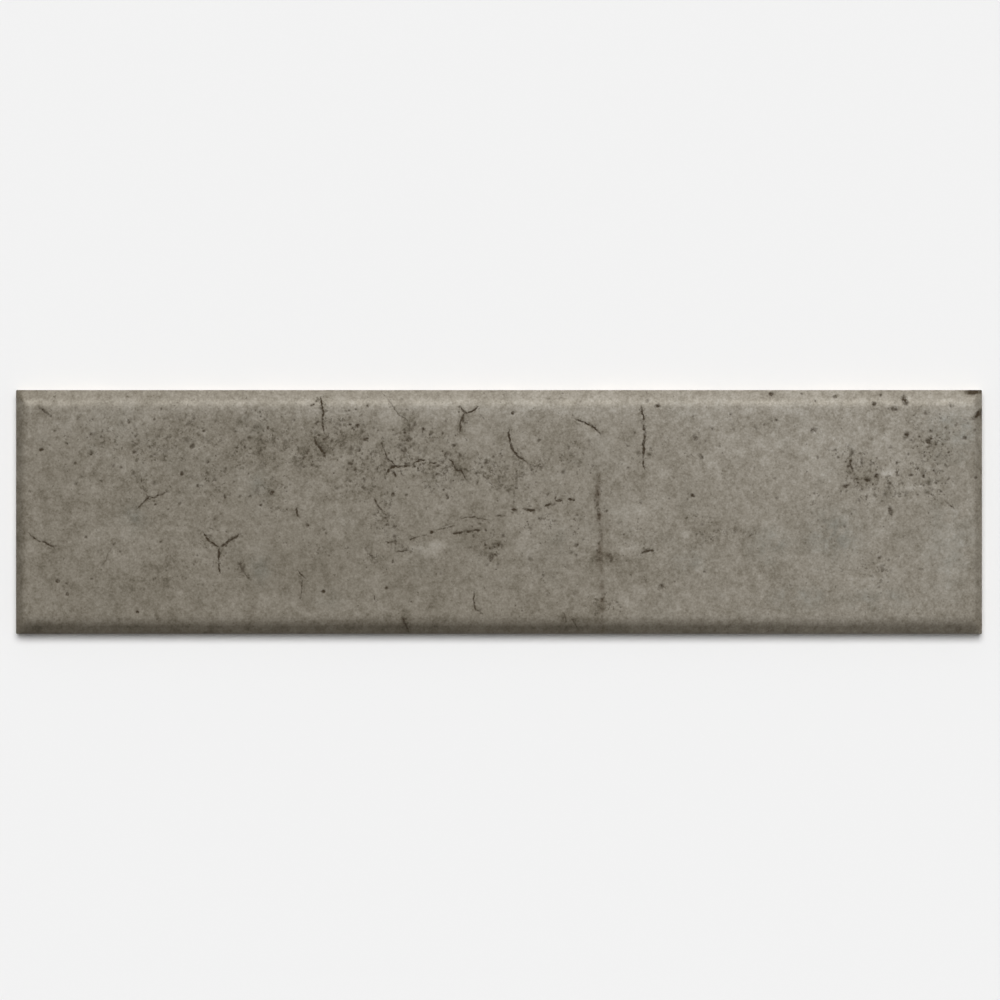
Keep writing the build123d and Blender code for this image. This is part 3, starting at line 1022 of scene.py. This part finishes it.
def add_back(mesh, form, sizes, material):
    """The keyed back and the plain margin around its pockets."""
    points, faces = keyed_back(sizes, material)
    mesh.add(points, faces)

    half_x = max(point.x for point in points)
    half_y = max(point.y for point in points)
    hair = 1e-3
    edge = [point for point in points if max(abs(point.x) - half_x, abs(point.y) - half_y) > -hair]

    def turn_of(point):
        """Where a point lies along the pocket field's border, anticlockwise."""
        if point.x > half_x - hair and point.y < half_y - hair:
            return point.y + half_y
        if point.y > half_y - hair and point.x > -half_x + hair:
            return 2 * half_y + half_x - point.x
        if point.x < -half_x + hair and point.y > -half_y + hair:
            return 2 * half_y + 2 * half_x + half_y - point.y
        return 4 * half_y + 2 * half_x + half_x + point.x

    edge.sort(key=turn_of)
    inner = [Vector((point.x, point.y)) for point in edge]
    outer = form.outline(form.back_easing)
    loop = [(len(outer) + k, len(outer) + (k + 1) % len(inner)) for k in range(len(inner))]
    places, margin = triangulate(outer + inner, loop)
    kept = []
    for face in margin:
        middle = sum((places[k] for k in face), Vector((0, 0))) / 3
        if abs(middle.x) > half_x or abs(middle.y) > half_y:
            kept.append(tuple(reversed(face)))
    mesh.add([(place.x, place.y, 0.0) for place in places], kept)


def finished_mesh(name, gathered, form, marks, sizes):
    """The gathered parts as one closed Blender mesh with relief and the marks' attributes."""
    points = np.array(gathered.points)
    fields = marks.fields(points[:, :2])

    # The marks fade out down the sides, below the arris.
    arris_height = form.thickness - form.edge_drop
    glazed_top = np.clip((points[:, 2] - (arris_height - 1.5)) / 1.2, 0, 1)
    for values in fields.values():
        values *= glazed_top

    # Weak cracks and pits are stains more than grooves, so depth grows faster than strength.
    dimples = np.minimum(fields["pit"], 1.0)
    sink = fields["crack"] ** 2 * sizes.crack_depth / MM + dimples**2 * sizes.pit_depth / MM
    on_face = points[:, 2] > arris_height - 0.02
    inset = np.minimum(form.half_length - np.abs(points[:, 0]), form.half_width - np.abs(points[:, 1]))

    # Relief starts at the rim of the face and is full from a millimetre in. The edge field
    # is strongest 4 mm in, where the long sides have their roll.
    inward = np.clip((inset - form.face_inset - 0.05) / 1.0, 0, 1)
    edge = np.exp(-(((inset - 4.0) / 2.5) ** 2))
    swells = np.array([swell(x, y, e) for (x, y, _), e in zip(points, edge)])

    # The whole face sits a little lower, so that its swells stay within the solid.
    room_for_swells = 0.05
    points[:, 2] += np.where(on_face, inward * (swells - room_for_swells - sink), 0)

    mesh = bpy.data.meshes.new(name)
    mesh.from_pydata((points * MM).tolist(), [], gathered.faces)
    # The bevels get painted shade, darkest on the lower long edge and the ends, where the light from the top
    # falls on them less.
    fields["wash_and_painted_light"] += form.painted_edge_shade(points[:, 0], points[:, 1]) * glazed_top
    for label, values in fields.items():
        layer = mesh.attributes.new(label, "FLOAT", "POINT")
        layer.data.foreach_set("value", values.astype(np.float32))

    work = bmesh.new()
    work.from_mesh(mesh)
    merge_distance, least_edge = 0.003 * MM, 0.0005 * MM
    bmesh.ops.remove_doubles(work, verts=work.verts, dist=merge_distance)
    bmesh.ops.dissolve_degenerate(work, edges=work.edges, dist=least_edge)
    bmesh.ops.recalc_face_normals(work, faces=work.faces)
    open_edges = sum(1 for one in work.edges if not one.is_manifold)
    work.to_mesh(mesh)
    work.free()
    if open_edges:
        raise RuntimeError(f"the tile's mesh has {open_edges} open edges")
    sharp_from = radians(38)
    mesh.shade_smooth()
    mesh.set_sharp_from_angle(angle=sharp_from)
    return mesh


class Wiring:
    """Short calls that add shader nodes and join them."""

    def __init__(self, tree):
        self.tree = tree

    def add(self, kind, inputs, output=0, **settings):
        """A new node's output. An input is another node's output, which is linked, or a value."""
        node = self.tree.nodes.new(kind)
        for name, value in settings.items():
            setattr(node, name, value)
        for name, value in inputs.items():
            if isinstance(value, bpy.types.NodeSocket):
                self.tree.links.new(value, node.inputs[name])
            else:
                node.inputs[name].default_value = value
        return node.outputs[output] if len(node.outputs) else None

    def math(self, operation, a, b=0.0, clamp=False):
        """A sum, product or the like of two values."""
        return self.add("ShaderNodeMath", {0: a, 1: b}, operation=operation, use_clamp=clamp)

    def noise(self, place, size, detail=2, roughness=0.5, seed=0.0):
        """Noise with features of about that size, in millimetres."""
        return self.add(
            "ShaderNodeTexNoise",
            {"Vector": place, "W": seed, "Scale": 1 / size, "Detail": float(detail), "Roughness": roughness},
            output="Fac",
            noise_dimensions="4D",
        )

    def swing(self, place, size, detail=2, seed=0.0):
        """Noise that swings about zero and strays by one on average, whatever its detail."""
        # How far a noise of each detail strays from a half on average.
        stray = {0: 0.110, 1: 0.088, 2: 0.070, 3: 0.063, 4: 0.058}[detail]
        return self.span(self.noise(place, size, detail, 0.6, seed), 0.5, 0.5 + stray, 0.0, 1.0, held=False)

    def dots(self, place, size, crowd, seed):
        """Soft ragged dots in cells of that size. The crowd is the share of cells that have one."""
        # The place is bent by a noise, or the dots would be round.
        bend = {"Vector": place, "Scale": 0.6, "Detail": 1.0}
        bend = self.add("ShaderNodeTexNoise", bend, output="Color", noise_dimensions="3D")
        bent = {0: bend, 1: (1.6, 1.6, 1.6), 2: place}
        bent = self.add("ShaderNodeVectorMath", bent, operation="MULTIPLY_ADD")
        bent = self.add("ShaderNodeVectorMath", {0: bent, 1: (seed, seed, seed)}, operation="ADD")
        cells = self.add("ShaderNodeTexVoronoi", {"Vector": bent, "Scale": 1 / size}).node
        own = self.add("ShaderNodeSeparateColor", {"Color": cells.outputs["Color"]}).node

        # Each cell's own colour says how wide its dot is, whether it has one, and how dark.
        rim = self.span(own.outputs["Green"], 0.0, 1.0, 0.2, 0.46, held=False)
        dot = self.span(cells.outputs["Distance"], rim, 0.0)
        there = self.span(self.math("SUBTRACT", crowd, own.outputs["Red"]), 0.0, 0.12)
        depth = self.span(own.outputs["Blue"], 0.0, 1.0, 0.3, 0.95, held=False)
        return self.math("MULTIPLY", self.math("MULTIPLY", dot, there), depth)

    def span(self, value, low, high, start=0.0, end=1.0, held=True):
        """The value taken from low..high to start..end, held there and eased unless told otherwise."""
        return self.add(
            "ShaderNodeMapRange",
            {"Value": value, "From Min": low, "From Max": high, "To Min": start, "To Max": end},
            interpolation_type="SMOOTHSTEP" if held else "LINEAR",
            clamp=held,
        )

    def mix(self, share, a, b):
        """Colour a where the share is 0, and b where it is 1."""
        return self.add("ShaderNodeMix", {0: share, 6: a, 7: b}, output=2, data_type="RGBA")

    def shade(self, colour, factor):
        """The colour made lighter or darker by a factor."""
        return self.add("ShaderNodeVectorMath", {0: colour, "Scale": factor}, operation="SCALE")

    def attribute(self, name):
        """One of the fields that the mesh carries."""
        return self.add("ShaderNodeAttribute", {}, output="Fac", attribute_name=name)


def rgba(colour):
    """The colour with full opacity, as a socket takes it."""
    return (*colour, 1.0)


def mottled_tone(wire, place, form):
    """How light the glaze is from place to place, about one: mottle, grain and broad washes, with the painted
    shade of the bevels and the painted highlight along the top roll.
    """
    # Mottling from slow to fine, each size as a share of the tone.
    tone = 1.0
    for size, detail, share, seed in (
        (34, 2, 0.03, 1.3), (10, 2, 0.04, 5.1), (3.6, 2, 0.055, 9.7), (1.5, 2, 0.07, 14.2),
        (0.62, 1, 0.09, 3.9),
    ):
        tone = wire.math("ADD", tone, wire.math("MULTIPLY", wire.swing(place, size, detail, seed), share))

    # The glaze is lighter towards the right end and the top edge, with broad washes and the painted edge
    # shade and crest highlight that the mesh carries.
    along = wire.add("ShaderNodeSeparateXYZ", {0: place}, output="X")
    up = wire.add("ShaderNodeSeparateXYZ", {0: place}, output="Y")
    lighter_right = wire.span(along, 20.0, 95.0, 1.0, 1.145)
    lighter_up = wire.span(up, -form.half_width, form.half_width, -0.05, 0.06, held=False)
    wash_and_painted_light = wire.math("ADD", wire.attribute("wash_and_painted_light"), lighter_right)
    return wire.math("MULTIPLY", tone, wire.math("ADD", wash_and_painted_light, lighter_up))


def specks(wire, place, grime):
    """Fine dark specks and blots everywhere, and many more of them in the grime."""
    speckle = 0.0
    clouds = wire.math("ADD", 1.0, wire.math("MULTIPLY", wire.swing(place, 4.5, 2, 33.0), 0.5))
    dirty = wire.math("MULTIPLY", grime, clouds, clamp=True)

    # Peaks of a noise that pass a level. The level is lower in the grime.
    for size, detail, seed, rare, common, depth in (
        (1.0, 1, 13.0, 2.2, 0.6, 0.45), (1.7, 2, 17.0, 2.6, 1.3, 0.6),
    ):
        start = wire.span(dirty, 0.0, 1.0, rare, common, held=False)
        over = wire.math("SUBTRACT", wire.swing(place, size, detail, seed), start)
        speckle = wire.math("MAXIMUM", speckle, wire.span(over, 0.0, 0.9, 0.0, depth))

    # Separate dots, with the share of cells that have one from clean to dirty glaze.
    for size, seed, least, most in ((3.3, 3.0, 0.02, 0.55), (1.9, 8.0, 0.03, 0.6)):
        crowd = wire.span(dirty, 0.0, 1.0, least, most, held=False)
        speckle = wire.math("MAXIMUM", speckle, wire.dots(place, size, crowd, seed))
    return speckle


def glaze_colour(wire, place, look, form):
    """Concrete-look glaze with specks and the marks from the mesh's attributes, as its colour
    and how dirty it is."""
    crack, pit, rust = (wire.attribute(name) for name in ("crack", "pit", "rust"))
    grime, haze, pale, green = (wire.attribute(name) for name in ("grime", "haze", "pale", "green"))
    tone = mottled_tone(wire, place, form)

    # Haze and pale smears, broken up by the middle noise.
    haze_share, pale_share = 0.36, 0.42
    broken = wire.math("ADD", wire.math("MULTIPLY", wire.swing(place, 3.2, 3, 7.7), 0.35), 1.0)
    dimmed = wire.math("MULTIPLY", wire.math("MULTIPLY", haze, broken), haze_share)
    tone = wire.math("SUBTRACT", tone, dimmed)
    lifted = wire.math("MULTIPLY", wire.math("MULTIPLY", pale, broken), pale_share)
    tone = wire.math("ADD", tone, lifted)

    # The cool patches, and a weak drift to the same cool glaze here and there.
    cool = wire.math("MULTIPLY", green, broken, clamp=True)
    drift = wire.span(wire.swing(place, 15, 2, 21.0), 0.3, 2.2, 0.0, 0.12)
    colour = wire.mix(wire.math("MAXIMUM", cool, drift), rgba(look.glaze), rgba(look.glaze_green))

    # Darker glaze is also browner, so blue falls faster with the tone than red does.
    powers = {k: wire.math("POWER", tone, power) for k, power in enumerate((0.93, 1.0, 1.15))}
    tint = wire.add("ShaderNodeCombineXYZ", powers)
    colour = wire.add("ShaderNodeVectorMath", {0: colour, 1: tint}, operation="MULTIPLY")

    speckle = specks(wire, place, grime)
    colour = wire.mix(speckle, colour, rgba(look.grime))

    # The streak, then the dirt in cracks and pits, whose edges are ragged.
    rusty = wire.math("MULTIPLY", wire.math("MULTIPLY", rust, broken), 0.85)
    colour = wire.mix(rusty, colour, rgba(look.rust))
    ragged = wire.math("ADD", wire.math("MULTIPLY", wire.swing(place, 0.9, 2, 27.0), 0.22), 1.0)
    in_cracks = wire.span(crack, 0.0, 0.7, 0, 0.92)
    in_pits = wire.span(pit, 0.0, 0.9, 0, 0.85)
    dark = wire.math("MULTIPLY", wire.math("MAXIMUM", in_cracks, in_pits), ragged, clamp=True)
    colour = wire.mix(dark, colour, rgba(look.dirt))
    return colour, wire.math("MAXIMUM", dark, speckle)


def biscuit_colour(wire, place, look):
    """Bare fired body: buff, slightly cloudy and finely sandy, with a few dark grains."""
    grain = wire.math("MULTIPLY", wire.swing(place, 0.5, 3, 2.0), 0.06)
    cloud = wire.math("MULTIPLY", wire.swing(place, 12, 3, 6.0), 0.05)
    colour = wire.shade(look.biscuit, wire.math("ADD", 1.0, wire.math("ADD", grain, cloud)))
    grit = wire.span(wire.swing(place, 0.7, 1, 8.0), 2.0, 2.6, 0.0, 0.5)
    return wire.mix(grit, colour, rgba(look.grit))


def tile_material(look, form):
    """Satin glaze over the face and the upper sides, and bare biscuit below its uneven line."""
    material = bpy.data.materials.new("Concrete-look glaze on biscuit")
    material.use_nodes = True
    tree = material.node_tree
    tree.nodes.clear()
    wire = Wiring(tree)

    own = wire.add("ShaderNodeTexCoord", {}, output="Object")
    place = wire.add("ShaderNodeVectorMath", {0: own, "Scale": 1 / MM}, operation="SCALE")
    height = wire.add("ShaderNodeSeparateXYZ", {0: place}, output="Z")

    # The glaze ends in a line that runs up and down in slow and in quick waves.
    glaze, dirty = glaze_colour(wire, place, look, form)
    biscuit = biscuit_colour(wire, place, look)
    line_height = 1.5
    line = wire.math("ADD", line_height, wire.math("MULTIPLY", wire.swing(place, 22, 1, 30.0), 0.4))
    line = wire.math("ADD", line, wire.math("MULTIPLY", wire.swing(place, 2.5, 1, 31.0), 0.06))
    covered = wire.span(wire.math("SUBTRACT", height, line), -0.15, 0.3)
    colour = wire.mix(covered, biscuit, glaze)

    # Satin glaze, duller where it is dirty, and a dull body below it.
    body_roughness = 0.9
    uneven = wire.math("MULTIPLY", wire.swing(place, 4, 4, 40.0), 0.03)
    satin = wire.math("ADD", look.glaze_roughness, uneven)
    satin = wire.math("ADD", satin, wire.math("MULTIPLY", dirty, 0.3), clamp=True)
    glossier = wire.math("MULTIPLY", covered, wire.math("SUBTRACT", satin, body_roughness))
    rough = wire.math("ADD", body_roughness, glossier)

    # Relief too fine for the mesh.
    grain = wire.noise(place, 0.6, 3, 0.6, 50.0)
    ripple = wire.noise(place, 5, 2, 0.5, 51.0)
    relief = wire.math("ADD", wire.math("MULTIPLY", grain, 0.25), ripple)
    normal = wire.add("ShaderNodeBump", {"Strength": 0.3, "Distance": 0.03 * MM, "Height": relief})

    shader = wire.add(
        "ShaderNodeBsdfPrincipled",
        {"Base Color": colour, "Roughness": rough, "Normal": normal, "IOR": 1.5},
    )
    wire.add("ShaderNodeOutputMaterial", {"Surface": shader})
    return material


class TILE_OT_add_wall_tile(bpy.types.Operator):
    """Make the glazed wall tile and let it stand for the solid"""

    bl_idname = "tile.add_wall_tile"
    bl_label = "Add Wall Tile"

    def execute(self, context):
        sizes = context.scene.tile_sizes
        form = TileForm(sizes)
        marks = FaceMarks()
        material = tile_material(context.scene.tile_colours, form)

        gathered = TileMesh()
        add_face(gathered, form, marks, sizes.grid_step / MM)
        gathered.add_rings(side_rings(form))
        add_back(gathered, form, sizes, material)
        mesh = finished_mesh("wall_tile", gathered, form, marks, sizes)
        mesh.materials.append(material)

        tile = bpy.data.objects.new("wall_tile", mesh)
        context.scene.collection.objects.link(tile)
        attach(tile, "root")
        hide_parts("tile")
        return {"FINISHED"}


def add_sun(name, strength, lean, turn, spread, only_on, colour=(1.0, 1.0, 1.0)):
    """A sun that leans towards the photograph's top, turned to its right, and lights one object."""
    light = bpy.data.lights.new(name, "SUN")
    light.energy = strength
    light.angle = spread
    light.color = colour
    sun = bpy.data.objects.new(name, light)
    towards = Vector((sin(lean) * sin(turn), sin(lean) * cos(turn), cos(lean)))
    sun.rotation_euler = towards.to_track_quat("Z", "Y").to_euler()
    bpy.context.scene.collection.objects.link(sun)
    lit = bpy.data.collections.new(f"lit_by_{name}")
    lit.objects.link(only_on)
    sun.light_linking.receiver_collection = lit
    return sun


def studio_world(look):
    """Dim even light from above, with a bright backdrop low over the horizon."""
    world = bpy.data.worlds.new("Even studio light")
    world.use_nodes = True
    tree = world.node_tree
    tree.nodes.clear()
    wire = Wiring(tree)
    direction = wire.add("ShaderNodeTexCoord", {}, output="Generated")
    upward = wire.add("ShaderNodeSeparateXYZ", {0: direction}, output="Z")
    backdrop_top, sky_start = 0.06, 0.12
    strength = wire.span(upward, backdrop_top, sky_start, look.horizon_strength, look.sky_strength)
    sky = wire.add("ShaderNodeBackground", {"Color": (1.0, 1.0, 1.0, 1.0), "Strength": strength})
    wire.add("ShaderNodeOutputWorld", {"Surface": sky})
    return world


class TILE_OT_add_stage(bpy.types.Operator):
    """Add the pale floor, the soft light and the camera over the tile"""

    bl_idname = "tile.add_stage"
    bl_label = "Add Stage"

    def execute(self, context):
        look = context.scene.stage_look
        scene = context.scene

        # The floor lies a hair below the tile's back, so that the two don't share a plane.
        floor_gap = 0.02 * MM
        bpy.ops.mesh.primitive_plane_add(size=8.0, location=(0, 0, -floor_gap))
        floor = context.object
        floor.name = "floor"
        paint = bpy.data.materials.new("Pale matt floor")
        paint.use_nodes = True
        shader = paint.node_tree.nodes["Principled BSDF"]
        shader.inputs["Base Color"].default_value = rgba(look.floor)
        shader.inputs["Roughness"].default_value = 0.9
        shader.inputs["Specular IOR Level"].default_value = 0.0
        floor.data.materials.append(paint)

        tile = scene.objects["wall_tile"]
        window_spread, sheen_spread = radians(26), radians(28)
        warm = (1.0, 0.94, 0.82)
        add_sun(
            "overhead_light", look.overhead_strength, look.overhead_lean, 0.0, look.overhead_spread,
            only_on=floor,
        )
        window = add_sun(
            "window_light", look.window_strength, look.window_lean, look.window_turn, window_spread,
            only_on=tile,
        )
        window.visible_glossy = False
        sheen = add_sun(
            "sheen_light", look.sheen_strength, look.sheen_lean, 0.0, sheen_spread, only_on=tile,
            colour=warm,
        )
        sheen.visible_diffuse = False
        scene.world = studio_world(look)
        scene.view_settings.view_transform = "Standard"

        # The camera looks straight down, aimed where the photograph's middle falls. From its
        # distance one pixel covers as much of the arris as in the photograph.
        camera = bpy.data.objects.new("camera", bpy.data.cameras.new("camera"))
        camera.data.lens = look.lens
        aim = on_tile((PHOTO_SIDE / 2, PHOTO_SIDE / 2)) * MM
        field = PHOTO_SIDE * MM_PER_PIXEL * MM
        distance = field * camera.data.lens / camera.data.sensor_width
        arris = TILE_HIGH[2] - scene.tile_sizes.edge_drop
        camera.location = (aim.x, aim.y, arris + distance)
        scene.collection.objects.link(camera)
        scene.camera = camera
        return {"FINISHED"}


class TILE_PT_panel(bpy.types.Panel):
    """Sizes, colours and buttons for the wall tile"""

    bl_idname = "TILE_PT_panel"
    bl_label = "Wall Tile"
    bl_space_type = "VIEW_3D"
    bl_region_type = "UI"
    bl_category = "Wall Tile"

    def draw(self, context):
        layout = self.layout
        for group, operator in (
            (context.scene.tile_sizes, None),
            (context.scene.tile_colours, TILE_OT_add_wall_tile),
            (context.scene.stage_look, TILE_OT_add_stage),
        ):
            box = layout.box()
            for name in group.__annotations__:
                box.prop(group, name)
            if operator:
                box.operator(operator.bl_idname)


CLASSES = (
    TileSizes,
    TileColours,
    StageLook,
    TILE_OT_add_wall_tile,
    TILE_OT_add_stage,
    TILE_PT_panel,
)


def register():
    """Registers the classes and gives the scene its three groups of settings."""
    for cls in CLASSES:
        bpy.utils.register_class(cls)
    bpy.types.Scene.tile_sizes = PointerProperty(type=TileSizes)
    bpy.types.Scene.tile_colours = PointerProperty(type=TileColours)
    bpy.types.Scene.stage_look = PointerProperty(type=StageLook)


def unregister():
    """Takes the settings and the classes away again."""
    for name in ("stage_look", "tile_colours", "tile_sizes"):
        delattr(bpy.types.Scene, name)
    for cls in reversed(CLASSES):
        bpy.utils.unregister_class(cls)


def main():
    """Registers the add-on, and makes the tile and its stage."""
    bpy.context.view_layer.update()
    register()
    bpy.ops.tile.add_wall_tile()
    bpy.ops.tile.add_stage()


if __name__ == "__main__":
    main()
